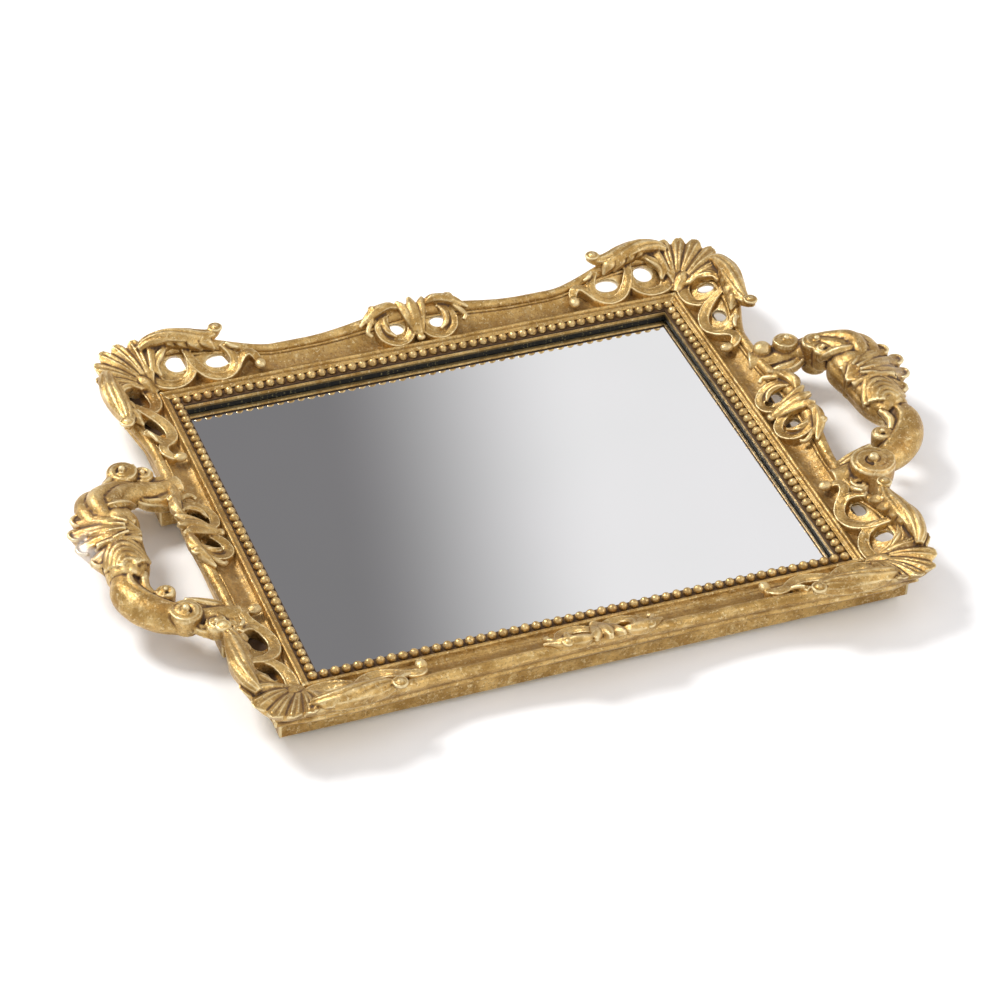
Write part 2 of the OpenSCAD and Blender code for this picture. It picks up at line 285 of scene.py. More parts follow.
# %% Everyday helpers
def set_out(name, mesh):
    """A new object with a name and a mesh, put on the set."""
    piece = bpy.data.objects.new(name, mesh)
    bpy.context.collection.objects.link(piece)
    return piece


def applied(piece):
    """What a piece's modifiers make, as a mesh of its own."""
    return bpy.data.meshes.new_from_object(piece.evaluated_get(
        bpy.context.evaluated_depsgraph_get()))


def face_outwards(mesh):
    """Turns the faces of closed bodies outwards."""
    body = bmesh.new()
    body.from_mesh(mesh)
    bmesh.ops.recalc_face_normals(body, faces=body.faces)
    body.to_mesh(mesh)
    body.free()


def cut_away(piece, tool):
    """Cuts the tool's shape out of a piece and clears the tool away."""
    cut = piece.modifiers.new("cut", "BOOLEAN")
    cut.operation, cut.object, cut.solver = "DIFFERENCE", tool, "EXACT"
    mesh = applied(piece)
    piece.modifiers.clear()
    piece.data = mesh
    bpy.data.objects.remove(tool)


def keep_number(mesh, label, values):
    """Keeps one number per vertex under a label."""
    mesh.attributes.new(label, "FLOAT", "POINT").data.foreach_set(
        "value", values.astype(np.float32))


# %% [markdown]
# Everything that is cast is modelled as clay first: closed shapes pushed into one another. A
# voxel remesh then turns the heap into one skin, as plaster flows into one body in a mould.

# %% Clay
TINY = 1e-9              # keeps a division by a length of nothing from failing


def through(rows, steps=8, closed=False):
    """A smooth curve through rows of numbers, by Catmull-Rom."""
    rows = np.array(rows, float)
    n = len(rows)
    ends = rows if closed else np.vstack([2 * rows[0] - rows[1], rows, 2 * rows[-1] - rows[-2]])
    spans = n if closed else n - 1
    u = np.linspace(0, 1, steps, endpoint=False)[:, None]
    out = []
    for i in range(spans):
        if closed:
            a, b, c, d = (rows[(i + k) % n] for k in (-1, 0, 1, 2))
        else:
            a, b, c, d = ends[i:i + 4]
        out.append(0.5 * (2 * b + (c - a) * u + (2 * a - 5 * b + 4 * c - d) * u ** 2
                          + (3 * b - a - 3 * c + d) * u ** 3))
    if not closed:
        out.append(rows[-1:])
    return np.vstack(out)


def across_line(spine, closed=False):
    """The directions sideways and off the line at each of its points."""
    if closed:
        along = np.roll(spine, -1, 0) - np.roll(spine, 1, 0)
    else:
        along = np.gradient(spine, axis=0)
    along /= np.linalg.norm(along, axis=1)[:, None] + TINY
    side = np.cross(along, (0, 0, 1.0))
    side /= np.linalg.norm(side, axis=1)[:, None] + TINY
    return side, np.cross(side, along)


class Clay:
    """A heap of closed shapes, in millimetres from the middle of the tray and the bead plane."""

    def __init__(self):
        self.points, self.faces, self.count = [], [], 0

    def loft(self, rings, closed=False):
        """Skins a row of rings of equal length, and caps both ends unless it closes."""
        rings = np.array(rings, float)
        n, m = rings.shape[:2]
        base = self.count
        self.points.append(rings.reshape(-1, 3))
        self.count += n * m
        for i in range(n if closed else n - 1):
            a, b = base + i * m, base + (i + 1) % n * m
            for j in range(m):
                k = (j + 1) % m
                self.faces.append((a + j, a + k, b + k, b + j))
        if not closed:
            self.faces.append(tuple(base + j for j in range(m))[::-1])
            self.faces.append(tuple(base + (n - 1) * m + j for j in range(m)))

    def sweep(self, rows, outline, steps=8, closed=False):
        """Rows are x, y, z, width and height; outline is a loop in the unit square."""
        rows = through(rows, steps, closed)
        spine = rows[:, :3]
        side, normal = across_line(spine, closed)
        outline = np.array(outline, float)
        rings = (spine[:, None] + side[:, None] * (outline[:, 0] * rows[:, 3:4])[:, :, None]
                 + normal[:, None] * (outline[:, 1] * rows[:, 4:5])[:, :, None])
        self.loft(rings, closed)

    def round(self, rows, sides=16, steps=8):
        """A tube; rows are x, y, z and radius."""
        t = np.linspace(0, 2 * math.pi, sides, endpoint=False)
        rows = [(*row[:4], row[3] if len(row) < 5 else row[4]) for row in rows]
        self.sweep(rows, np.stack([np.cos(t), np.sin(t)], 1), steps)

    def ball(self, centre, radii, rings=12, sides=20):
        if not hasattr(radii, "__len__"):
            radii = (radii,) * 3
        lat = np.linspace(-1.5, 1.5, rings)
        lon = np.linspace(0, 2 * math.pi, sides, endpoint=False)
        shell = [[(centre[0] + radii[0] * math.cos(a) * math.cos(o),
                   centre[1] + radii[1] * math.cos(a) * math.sin(o),
                   centre[2] + radii[2] * math.sin(a)) for o in lon] for a in lat]
        self.loft(shell)

    def turned(self, matrix):
        """A copy under a 4x4 matrix."""
        copy = Clay()
        stack = np.vstack(self.points)
        flat = np.c_[stack, np.ones(len(stack))] @ np.array(matrix).T
        copy.points, copy.count = [flat[:, :3]], self.count
        flip = np.linalg.det(np.array(matrix)[:3, :3]) < 0
        copy.faces = [f[::-1] for f in self.faces] if flip else list(self.faces)
        return copy

    def take(self, other):
        for block in other.points:
            self.points.append(block)
        self.faces += [tuple(i + self.count for i in f) for f in other.faces]
        self.count += other.count

    def mesh(self, name):
        stack = np.vstack(self.points) + (0, 0, BEAD_Z)
        mesh = bpy.data.meshes.new(name)
        mesh.from_pydata((stack * MM).tolist(), [], self.faces)
        mesh.update()
        return mesh


def ripple(point):
    """The unevenness of hand-finished plaster, between -1 and 1."""
    p = Vector(point)
    return 0.6 * noise.noise(p * 0.16) + 0.4 * noise.noise(p * 0.5 + Vector((7, 3, 1)))


def cast(clay, name, voxel):
    """One skin round the clay, softened a little and left slightly uneven."""
    rough = set_out(name + "_clay", clay.mesh(name + "_clay"))
    remesh = rough.modifiers.new("skin", "REMESH")
    remesh.mode = "VOXEL"
    remesh.voxel_size = voxel * MM
    smooth = rough.modifiers.new("soften", "SMOOTH")
    smooth.factor, smooth.iterations = 0.5, 1
    skin = applied(rough)
    skin.name = name
    bpy.data.objects.remove(rough)
    return finish_skin(set_out(name, skin))


def mesh_arrays(mesh):
    points = np.empty(len(mesh.vertices) * 3)
    normals = np.empty(len(mesh.vertices) * 3)
    edges = np.empty(len(mesh.edges) * 2, int)
    mesh.vertices.foreach_get("co", points)
    mesh.vertices.foreach_get("normal", normals)
    mesh.edges.foreach_get("vertices", edges)
    return points.reshape(-1, 3) / MM, normals.reshape(-1, 3), edges.reshape(-1, 2)


def averaged(points, edges, rounds):
    """Each point replaced by the mean of its neighbours, a number of times over."""
    a, b = edges[:, 0], edges[:, 1]
    count = np.bincount(np.r_[a, b], minlength=len(points)).astype(float)[:, None]
    for _ in range(rounds):
        total = np.empty_like(points)
        for k in range(3):
            total[:, k] = (np.bincount(a, points[b, k], len(points))
                           + np.bincount(b, points[a, k], len(points)))
        points = 0.5 * points + 0.5 * total / np.maximum(count, 1)
    return points


def finish_skin(piece, lump=0.12, fine=6, broad=60):
    """Uneven surface, smooth shading, and the two hollow measures that the gilding reads."""
    mesh = piece.data
    points, normals, _ = mesh_arrays(mesh)
    uneven = np.array([ripple(p) for p in points])
    points = points + normals * (lump * uneven)[:, None]
    mesh.vertices.foreach_set("co", (points * MM).ravel())
    mesh.update()
    points, normals, edges = mesh_arrays(mesh)
    near = averaged(points, edges, fine)
    far = averaged(near, edges, broad)
    for label, other in (("fine", near), ("broad", far)):
        depth = np.einsum("ij,ij->i", other - points, normals)
        keep_number(mesh, label, np.clip(depth, -2, 2))
    mesh.polygons.foreach_set("use_smooth", [True] * len(mesh.polygons))
    mesh.update()
    return piece


def dress(piece, material, slot, *nodes):
    """Gives a piece its finish, its body and the CAD nodes that it stands for."""
    piece.data.materials.clear()
    piece.data.materials.append(material)
    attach(piece, "root")
    if nodes:
        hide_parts(*nodes)
    print(piece.name, len(piece.data.polygons), "faces")
    return piece

# %% [markdown]
# The four rails are one moulding: an upright lip, the seat for the beads, a small ridge, a
# shallow cove and a rolled rim. Between ornaments the rim swings in, and under them it swells
# out and up. So the section is drawn once, and each station along a rail stretches it.

# %% Rail section and swell
RAIL_W = 23.7            # from the bead line out to the plain rim
COVE_IN = 8.4            # from the bead line out to where the cove starts
REBATE = 1.95            # from the bead line out to the wall of the rebate
WALL_TOP = -3.2          # height of the top of the plain outer wall
LIP_Z = -3.0             # height of the underside of the lip over the mirror
# how far the rim swells out and up, at a crest and at the corners of a long and a short side
CREST_OUT, CREST_UP = 3.5, 4.5
CORNER_OUT, CORNER_UP = (10.0, 9.5), 8.0
# where that corner swell starts before the bead corner, and over what length it grows
RAMP = ((54.0, 42.0), (40.0, 30.0))


def ease(u):
    k = min(1.0, max(0.0, u))
    return k * k * (3 - 2 * k)


def swell(p, side, crest, corner):
    """Swell of the rim at distance p from the middle; side is 0 for long and 1 for short."""
    h, p = HALF[side], abs(p)
    near = math.cos(math.pi / 2 * p / (0.45 * h)) ** 2 if p < 0.45 * h else 0
    start, length = RAMP[side]
    return crest * near + corner * ease((p - h + start) / length) * (
        1 - 0.8 * ease((p - h + 2) / 24))


CURVES = [
    [(-2.3, LIP_Z), (-2.3, -3.6), (-2.34, -4.2), (-2.5, -4.45)],
    [(-2.5, -4.45), (-2.72, -4.2), (-2.75, -3.4), (-2.7, -2.1), (-2.3, -1.6)],
    [(-2.3, -1.6), (2.7, -1.6)],
    [(2.7, -1.6), (2.75, -0.3), (3.0, 0.1), (3.7, 0.3), (4.7, 0.75)],
    [(4.7, 0.75), (5.1, 1.7), (5.75, 2.1), (6.4, 1.85), (6.85, 0.95)],
    [(6.85, 0.95), (7.4, 0.1), (8.4, -0.45)],
    [(8.4, -0.45), (10.5, -0.8), (13, -0.3), (15.6, 1.1), (17.4, 2.6)],
    [(17.4, 2.6), (17.6, 3.3), (18.2, 3.5), (18.7, 3.1)],
    [(18.7, 3.1), (18.9, 4.3), (19.8, 5.4), (21.1, 5.8), (22.5, 5.4), (23.5, 4.2), (23.7, 2.9),
     (23.3, 1.4), (22.6, 0.4)],
    [(22.6, 0.4), (22.3, -0.4), (22.5, -1.2), (22.6, -2.2), (22.2, -2.9), (21.5, WALL_TOP)],
    [(21.5, WALL_TOP), (21.4, -3.6), (21.4, BASE_Z + 0.9), (21.1, BASE_Z + 0.2), (20.6, BASE_Z)],
    [(20.6, BASE_Z), (REBATE, BASE_Z)],
    [(REBATE, BASE_Z), (REBATE, LIP_Z)],
]


FOLLOWS = [0, 0, 0, 0, 0, 1, 1, 1, 1, 1, 0, 0, 0]     # curves that swell with the rim


def section_curve():
    points = []
    for curve, follows in zip(CURVES, FOLLOWS):
        steps = 4 if len(curve) > 2 else 1
        line = through(curve, steps)[:-1]
        points.append(np.c_[line, np.full(len(line), float(follows))])
    return np.vstack(points)


SECTION = section_curve()


def stretched(side, p):
    """The section at distance p from the middle of a side: outwards and height."""
    edge = RAIL_W + swell(p, side, CREST_OUT, CORNER_OUT[side])
    rise = swell(p, side, CREST_UP, CORNER_UP)
    out, high = SECTION[:, 0].copy(), SECTION[:, 1].copy()
    k = np.clip((out - COVE_IN) / (RAIL_W - COVE_IN), 0, 1)
    k *= SECTION[:, 2]
    out += k * (edge - RAIL_W)
    high += rise * k ** 1.4
    return out, high


SIDES = {
    "back": Matrix.Identity(4),
    "front": Matrix.Scale(-1, 4, (0, 1, 0)),
    "right": Matrix(((0, 1, 0, 0), (1, 0, 0, 0), (0, 0, 1, 0), (0, 0, 0, 1))),
    "left": Matrix(((0, -1, 0, 0), (1, 0, 0, 0), (0, 0, 1, 0), (0, 0, 0, 1))),
}


# %% [markdown]
# The gaps between the scrolls are bored down into the rail from above. A deep bore that leans
# outwards lets light through, and some of those at the back come out as small slots in the
# plain outer wall. A short straight bore is only a dark hollow. Each side has its own depth.

# %% Rails
STATION = 1.2            # between two sections along a rail
# a bore's middle, along the rail from the bead corner and outwards, and its two radii
EYES = [((-5.4, 19.2), (4.6, 5.4)), ((-25.2, 17.0), (5.6, 4.2))]
EYE_SHIFTS = ((0, 0), (5, 3))    # along the rail, on a long and a short side
CREST_EYE = ((10.8, 15.6), (4.0, 3.6))
# drift along the rail and outwards for each millimetre down, the depth, and the size of the eyes
BORES = {"back": (0.3, 0.95, 9, 1.0), "front": (0.0, 0.0, 3, 1.0),
         "right": (0.85, 0.45, 12, 0.75), "left": (0.85, -0.25, 7, 1.0)}


def slope(out):
    """Height of the ornament's face, which climbs towards the rim."""
    return 1.5 + 0.52 * (out - 8)


def piercing(place, radii, side_half, other_half, sense, bore):
    """An oval bore from the face down into a rail, on one half of it."""
    along, outwards, deep, _ = bore
    clay = Clay()
    x0 = sense * (side_half + place[0])
    y0 = other_half + place[1]
    z0 = slope(place[1])
    t = np.linspace(0, 2 * math.pi, 28, endpoint=False)
    clay.loft([[(x0 - along * dz + wide * radii[0] * math.cos(a),
                 y0 - outwards * dz + wide * radii[1] * math.sin(a), z0 + dz) for a in t]
               for dz, wide in ((-deep, 1.1), (-deep / 2, 1.05), (0, 1.0), (24, 1.0))])
    return clay


def rail_clay(side):
    """The moulding along the back of a side, mitred at both ends."""
    h, other = HALF[side], HALF[1 - side]
    rings = []
    for t in np.linspace(-1, 1, int(2 * (h + RAIL_W) / STATION) + 1):
        out, high = stretched(side, t * (h + RAIL_W))
        rings.append(np.stack([t * (h + out), other + out, high], 1))
    clay = Clay()
    clay.loft(np.array(rings)[:, ::-1])
    return clay


def rail_cuts(side, bore):
    """The bores of one rail, the same on both halves."""
    h, other = HALF[side], HALF[1 - side]
    cuts, size = Clay(), bore[3]
    for sense in (-1, 1):
        for (place, radii), shift in zip(EYES, EYE_SHIFTS[side]):
            cuts.take(piercing((place[0] + shift, place[1]), (radii[0] * size, radii[1] * size), h,
                               other, sense, bore))
        cuts.take(piercing((CREST_EYE[0][0] - h, CREST_EYE[0][1]), CREST_EYE[1], h, other, sense,
                           bore))
    return cuts


def paint_lip_shade(mesh):
    """Marks the inner face under the beads, which the gilding darkens as painted shade."""
    points = mesh_arrays(mesh)[0]
    out = np.maximum(np.abs(points[:, 0]) - HALF[0], np.abs(points[:, 1]) - HALF[1])
    keep_number(mesh, "soot", (out < -1) * np.clip((BEAD_Z - 2.8 - points[:, 2]) / 0.7, 0, 1))


def rail(name):
    side = 0 if name in ("front", "back") else 1
    piece, drills = (set_out(label, clay.turned(SIDES[name]).mesh(label)) for label, clay in (
        ("rail_" + name, rail_clay(side)), ("drill", rail_cuts(side, BORES[name]))))
    for closed_body in (piece, drills):
        face_outwards(closed_body.data)
    cut_away(piece, drills)
    finish_skin(piece, 0.08, 3, 30)
    paint_lip_shade(piece.data)
    return dress(piece, gilt, "gilt_moulding", "rail_" + name)


for name in SIDES:
    rail(name)

# %% [markdown]
# The course of beads was pressed from one mould, so the beads repeat, but each is a little
# different where the leaf bridged or broke. Geometry Nodes set an egg on every point of a line,
# with a seeded jitter, and join them to the narrow strip that they were cast on.

# %% Beads
def course_tree(name, inputs):
    """The start of a tree that repeats one thing along a line and gives it a finish. Returns the
    tree, its inputs and the node that spreads the thing along the line."""
    tree = bpy.data.node_groups.new(name, "GeometryNodeTree")
    for label, kind in (("Start", "Vector"), ("End", "Vector"), ("Count", "Int"), ("Seed", "Int"),
                        ("Finish", "Material"), *inputs):
        tree.interface.new_socket(label, in_out="INPUT", socket_type="NodeSocket" + kind)
    tree.interface.new_socket("Course", in_out="OUTPUT", socket_type="NodeSocketGeometry")
    n, link = tree.nodes, tree.links.new
    given, made = n.new("NodeGroupInput"), n.new("NodeGroupOutput")
    line = n.new("GeometryNodeMeshLine")
    line.mode = "END_POINTS"
    for label, socket in (("Count", "Count"), ("Start", "Start Location"), ("End", "Offset")):
        link(given.outputs[label], line.inputs[socket])
    spread = n.new("GeometryNodeInstanceOnPoints")
    link(line.outputs["Mesh"], spread.inputs["Points"])
    real = n.new("GeometryNodeRealizeInstances")
    link(spread.outputs["Instances"], real.inputs["Geometry"])
    coat = n.new("GeometryNodeSetMaterial")
    link(real.outputs["Geometry"], coat.inputs["Geometry"])
    link(given.outputs["Finish"], coat.inputs["Material"])
    link(coat.outputs["Geometry"], made.inputs["Course"])
    return tree, given, spread


def bead_tree():
    tree, given, spread = course_tree("bead_course", [("Radius", "Float")])
    n, link = tree.nodes, tree.links.new
    egg = n.new("GeometryNodeMeshUVSphere")
    egg.inputs["Segments"].default_value = 20
    egg.inputs["Rings"].default_value = 14
    link(given.outputs["Radius"], egg.inputs["Radius"])
    link(egg.outputs["Mesh"], spread.inputs["Instance"])
    for socket, low, high in (("Scale", (0.86, 0.86, 0.9), (0.96, 0.99, 1.0)),
                              ("Rotation", (-0.3, -0.3, -3.1), (0.3, 0.3, 3.1))):
        vary = n.new("FunctionNodeRandomValue")
        vary.data_type = "FLOAT_VECTOR"
        vary.inputs[0].default_value, vary.inputs[1].default_value = low, high
        link(given.outputs["Seed"], vary.inputs["Seed"])
        link(vary.outputs[0], spread.inputs[socket])
    return tree


def plain_mesh(tree, values):
    """Runs a tree on an empty mesh and returns what it makes, as a plain mesh."""
    holder = set_out("holder", bpy.data.meshes.new("holder"))
    made = holder.modifiers.new("made", "NODES")
    made.node_group = tree
    sockets = {item.name: item.identifier for item in tree.interface.items_tree
               if item.item_type == "SOCKET" and item.in_out == "INPUT"}
    for label, value in values.items():
        made[sockets[label]] = value
    holder.update_tag()
    mesh = applied(holder)
    bpy.data.objects.remove(holder)
    return mesh


COURSE = bead_tree()


def bead_course(name, seed):
    """The eggs of one side; the corner beads belong to the long sides."""
    side = 0 if name in ("front", "back") else 1
    h, other = HALF[side], HALF[1 - side]
    pitch = 2 * h / (BEADS[side] - 1)
    first = 0 if side == 0 else 1
    turn = SIDES[name]
    start, end = (turn @ Vector((s * (h - first * pitch), other, BEAD_Z)) * MM for s in (-1, 1))
    return plain_mesh(COURSE, {"Start": start, "End": end, "Count": BEADS[side] - 2 * first,
                               "Radius": BEAD_R * MM, "Seed": seed, "Finish": gilt_beads})


print("bead tree", len(COURSE.nodes), "nodes")

# %% [markdown]
# The ornament rests on the moulding like a cast laid over it. Its bands are smooth ribbons with
# a thin raised edge, its leaves are crowned and fluted on the slant, and its shell is a fan of
# full lobes with deep lines between. A place on it is given along the rail from the bead corner
# and outwards, and its face climbs steeply towards the rim.

# %% Ribbons and leaves
BAND = [(-0.5, -1), (-0.5, -0.3), (-0.49, -0.12), (-0.45, -0.02), (-0.4, -0.03), (-0.35, -0.1),
        (-0.22, -0.05), (0, -0.02), (0.22, -0.05), (0.35, -0.1), (0.4, -0.03), (0.45, -0.02),
        (0.49, -0.12), (0.5, -0.3), (0.5, -1)]
CORD = [(0.5 * math.cos(a), 0.5 * math.sin(a)) for a in np.linspace(0, 2 * math.pi, 14)[:-1]]


def band(clay, rows, closed=False, high=5.0):
    """Rows are x, y, z and width of the band's face; it reaches down into the ground."""
    clay.sweep([(x, y, z, w, high) for x, y, z, w in rows], BAND, 8, closed)


def cord(clay, rows, closed=False):
    """A thin raised line; rows are x, y, z and thickness."""
    clay.sweep([(x, y, z, w, w) for x, y, z, w in rows], CORD, 6, closed)


def rosette(clay, x, y, z, r, thick):
    """A ring of cord round a button."""
    t = np.linspace(0, 2 * math.pi, 11)[:-1]
    cord(clay, [(x + r * math.cos(a), y + r * math.sin(a), z, thick) for a in t], True)


def leaf(clay, rows, flutes=2.0, twist=0.0, crown=0.2, rib=0.45, thick=3.0, notch=0.0):
    """A crowned leaf along rows of x, y, z and width. Its flutes run on the slant by twist turns,
    and notch scallops its edges."""
    across = np.linspace(-0.5, 0.5, int(9 * flutes) + 7)
    rows = through(rows)
    spine = rows[:, :3]
    side, normal = across_line(spine)
    rings = []
    for t, point, s, n, w in zip(np.linspace(0, 1, len(spine)), spine, side, normal, rows[:, 3]):
        w = max(w, 0.4) * (1 + notch * math.cos(2 * math.pi * twist * 1.5 * t))
        wave = np.abs(np.sin(math.pi * (flutes * across + twist * t)))
        lift = crown * w * (1 - (2 * across) ** 2) + rib * min(1, w / 5) * (wave * 2 - 1)
        top = point + s * (across * w)[:, None] + n * lift[:, None]
        low = point + s * (across * w * 0.9)[:, None] - n * min(thick, 1 + 0.4 * w)
        rings.append(np.vstack([top, low[::-1]]))
    clay.loft(rings)


def fan(clay, root, tips, belly, lobe, thick, reach):
    """A shell: lobes that run from the root to the tips, full in the middle of each lobe. The
    face rises by belly half way, and its rim is scalloped from lobe to lobe."""
    across = 11
    tips = np.array(tips, float)
    root = np.array(root, float)
    first, last = 1.5 * tips[0] - 0.5 * tips[1], 1.5 * tips[-1] - 0.5 * tips[-2]
    edge = through(np.vstack([first, (tips[:-1] + tips[1:]) / 2, last]), 2 * across)
    rings = []
    for i, end in enumerate(edge):
        f = (i / (2.0 * across)) % 1.0
        bulge = 1 - (2 * f - 1) ** 2
        line = 0.35 * math.exp(-((f - 0.5) / 0.09) ** 2)
        top, low = [], []
        for r in np.linspace(0.04, 1, across):
            far = root + (end - root) * r * (1 + reach * 0.13 * (bulge - 0.6) * r)
            grow = min(1, r * 1.6)
            height = belly * math.sin(math.pi * min(1, r * 1.02)) + lobe * grow * (
                bulge ** 0.6 - 0.8 - line * r)
            top.append(far + (0, 0, height))
            low.append(root + (end - root) * r * 0.94 + (0, 0, -thick * (1.05 - 0.55 * r)))
        rings.append(top + low[::-1])
    clay.loft(rings)


def spiral(clay, x, y, z, r, high=8.0, turns=1.5, start=0.0, sense=1):
    """A volute: a drum, and on it a ribbon that winds in to a button."""
    drum = np.linspace(0, 2 * math.pi, 25)[:-1]
    clay.loft([[(x + k * r * math.cos(a), y + k * r * math.sin(a), z + dz) for a in drum]
               for k, dz in ((0.82, -high), (0.97, -high * 0.5), (1.0, -1.8), (0.93, -1.0),
                             (0.3, -1.1))])
    rows = []
    for t in np.linspace(0, 1, 18):
        a = start + sense * 2 * math.pi * turns * t
        k = r * (0.8 - 0.5 * t)
        rows.append((x + k * math.cos(a), y + k * math.sin(a), z - 0.25 + 0.5 * t,
                     r * (0.42 - 0.14 * t)))
    band(clay, rows, False, 2.6)
    clay.ball((x, y, z + 0.1), (r * 0.24, r * 0.24, r * 0.26))


# %% [markdown]
# A corner ornament has two arms and a shell. Each arm has a large scroll next to the shell, a
# smaller one that opens into it, a tail that springs from the second and ends in a drop, and a
# leaf that lies along the rim over both and curls up at its end.

# %% Corner ornament
def arm(clay, side):
    """The scrolls and leaf along one side, in the frame of the back right corner."""
    h, other = HALF[side], HALF[1 - side]
    squeeze = 1.0 if side == 0 else 0.9

    def at(a, out, lift=0.0, rim=False):
        shift = 0 if side == 0 else 5 + 0.12 * min(0, a)
        out = 8 + (out - 8) * (1.0 if rim else squeeze)
        x, y = h + a + shift, other + out
        z = slope(out) + lift
        return (x, y, z) if side == 0 else (y, x, z)

    def row(a, out, w, lift=0.0, rim=False):
        return (*at(a, out, lift, rim), w)

    band(clay, [row(-10, 28.2, 3.8), row(-12, 23.5, 3.8), row(-12.6, 18.6, 4.2),
                row(-11, 13.4, 5), row(-4.8, 10.2, 6.2), row(3.2, 11.6, 6.8), row(7.2, 17.5, 7),
                row(7, 24, 6.6), row(2.3, 29, 6), row(-5, 30.2, 4.8)], True, 6)
    leaf(clay, [row(-5.5, 27.6, 1.5, -0.6), row(-1.8, 26.4, 3.8, 0.4), row(1.8, 23, 4.4, 0.7),
                row(4, 18.6, 4, 0.8), row(2.6, 14.4, 1.4, 0.2)], 2, 1.5, 0.2, 0.35, notch=0.15)
    band(clay, [row(-29.5, 24.5, 3.6), row(-32.6, 20, 4.2), row(-33.4, 15.4, 4.8),
                row(-30.6, 11.3, 5.4), row(-25.5, 9.7, 5.6), row(-19.6, 11.6, 5.6),
                row(-15.4, 16.2, 5.2), row(-13.2, 20.6, 4.4), row(-11.6, 25, 3.6)], False, 5.5)
    band(clay, [row(-29, 10.6, 4.2, -0.3), row(-32.4, 12.2, 4.6, -0.2), row(-35, 15.4, 4.8),
                row(-38, 18, 4.8), row(-41.4, 18.4, 4.6), row(-43.6, 16, 4.2),
                row(-44.4, 12.4, 3.2, -0.3)], False, 4.5)
    clay.ball(at(-44.4, 11.6, 0.1), (2.7, 3.3, 2.2) if side == 0 else (3.3, 2.7, 2.2))
    cord(clay, [row(-36.5, 20.4, 1.2, 0.4), row(-33.6, 21.4, 2.2, 0.6), row(-31, 23.5, 1.6, 0.6)])
    leaf(clay, [row(10, 28, 3.5, 0.6, True), row(5, 30.2, 7, 1.4, True),
                row(-4, 31, 9.6, 1.7, True), row(-13, 29.8, 9.8, 1.5, True),
                row(-21, 28.6, 8, 1.1, True), row(-27, 29.2, 4.4, 1.0, True),
                row(-30.5, 31.5, 2.4, 0.6, True)], 3, 2.6, 0.27, 0.36, 7)
    for tip, root, w in (((-9, 26.2), (-2, 30.5), 6.5), ((-14.4, 24.6), (-7, 30), 7),
                         ((-20, 22.8), (-12.5, 29), 7), ((-25.8, 22), (-18, 28), 6.5)):
        half = [(p + q) / 2 for p, q in zip(tip, root)]
        leaf(clay, [row(*root, 2.5, 1.8, True), row(*half, w, 1.7, True),
                    row(*tip, 1, -0.2, True)], 1, 0.4, 0.3, 0.2, 4)
    x, y, z = at(-28.2, 30.6, 1.2, True)
    clay.round([(x, y, z - 6, 3), (x, y, z - 0.5, 3.3)], 18, 3)
    clay.ball((x, y, z), (2.2, 2.2, 1.9))
    rosette(clay, x, y, z + 0.3, 2.8, 1.5)


# the ends of the shell's lobes and its root, outwards from the bead corner, and their heights
SHELL_ROOT = (8.2, 8.2, 2.0)
SHELL_RISE = 2.6
SHELL_TIPS = [(3.2, 34.2, 13.6), (10.6, 34, 12.8), (18.8, 34.2, 12.2), (27.2, 31.8, 11.8),
              (32.6, 22, 11.6), (33.8, 10.6, 11.8)]


def corner_clay():
    clay = Clay()
    arm(clay, 0)
    arm(clay, 1)
    hx, hy = HALF
    tips = [(hx + x, hy + y, z) for x, y, z in SHELL_TIPS]
    rx, ry, rz = hx + SHELL_ROOT[0], hy + SHELL_ROOT[1], SHELL_ROOT[2]
    fan(clay, (rx, ry, rz), tips, belly=SHELL_RISE, lobe=1.0, thick=6.5, reach=1.0)
    for k, (tx, ty, tz) in enumerate(tips):
        for lean in (-0.34, 0.34):
            nx, ny, _ = tips[max(0, min(5, k + (1 if lean > 0 else -1)))]
            ex, ey = tx + (nx - tx) * abs(lean) * 0.55, ty + (ny - ty) * abs(lean) * 0.55
            cord(clay, [(rx + (ex - rx) * r, ry + (ey - ry) * r,
                         rz + (tz - rz) * r + SHELL_RISE * math.sin(math.pi * r) + 0.2, 0.9)
                        for r in (0.3, 0.55, 0.8, 0.93)])
    clay.round([(hx + 7.5, hy + 7.5, 0.2, 2.6), (hx + 12, hy + 12, 3.6, 3.6),
                (hx + 15, hy + 15, 5.4, 2.4)], 16, 4)
    return clay


CORNER = corner_clay()
MIRRORS = {"back_right": (1, 1), "back_left": (-1, 1), "front_right": (1, -1),
           "front_left": (-1, -1)}


def corner_scroll(name):
    sx, sy = MIRRORS[name]
    piece = cast(CORNER.turned(np.diag((sx, sy, 1, 1))), "corner_scroll_" + name, 0.45)
    return dress(piece, gilt, "gilt_ornament", "corner_scroll_" + name)


for name in MIRRORS:
    corner_scroll(name)

# %% [markdown]
# The crest in the middle of a side is smaller: two scrolls back to back, three lobes of a
# palmette between them, and a leaf to each side that runs out along the rim to a little hook.

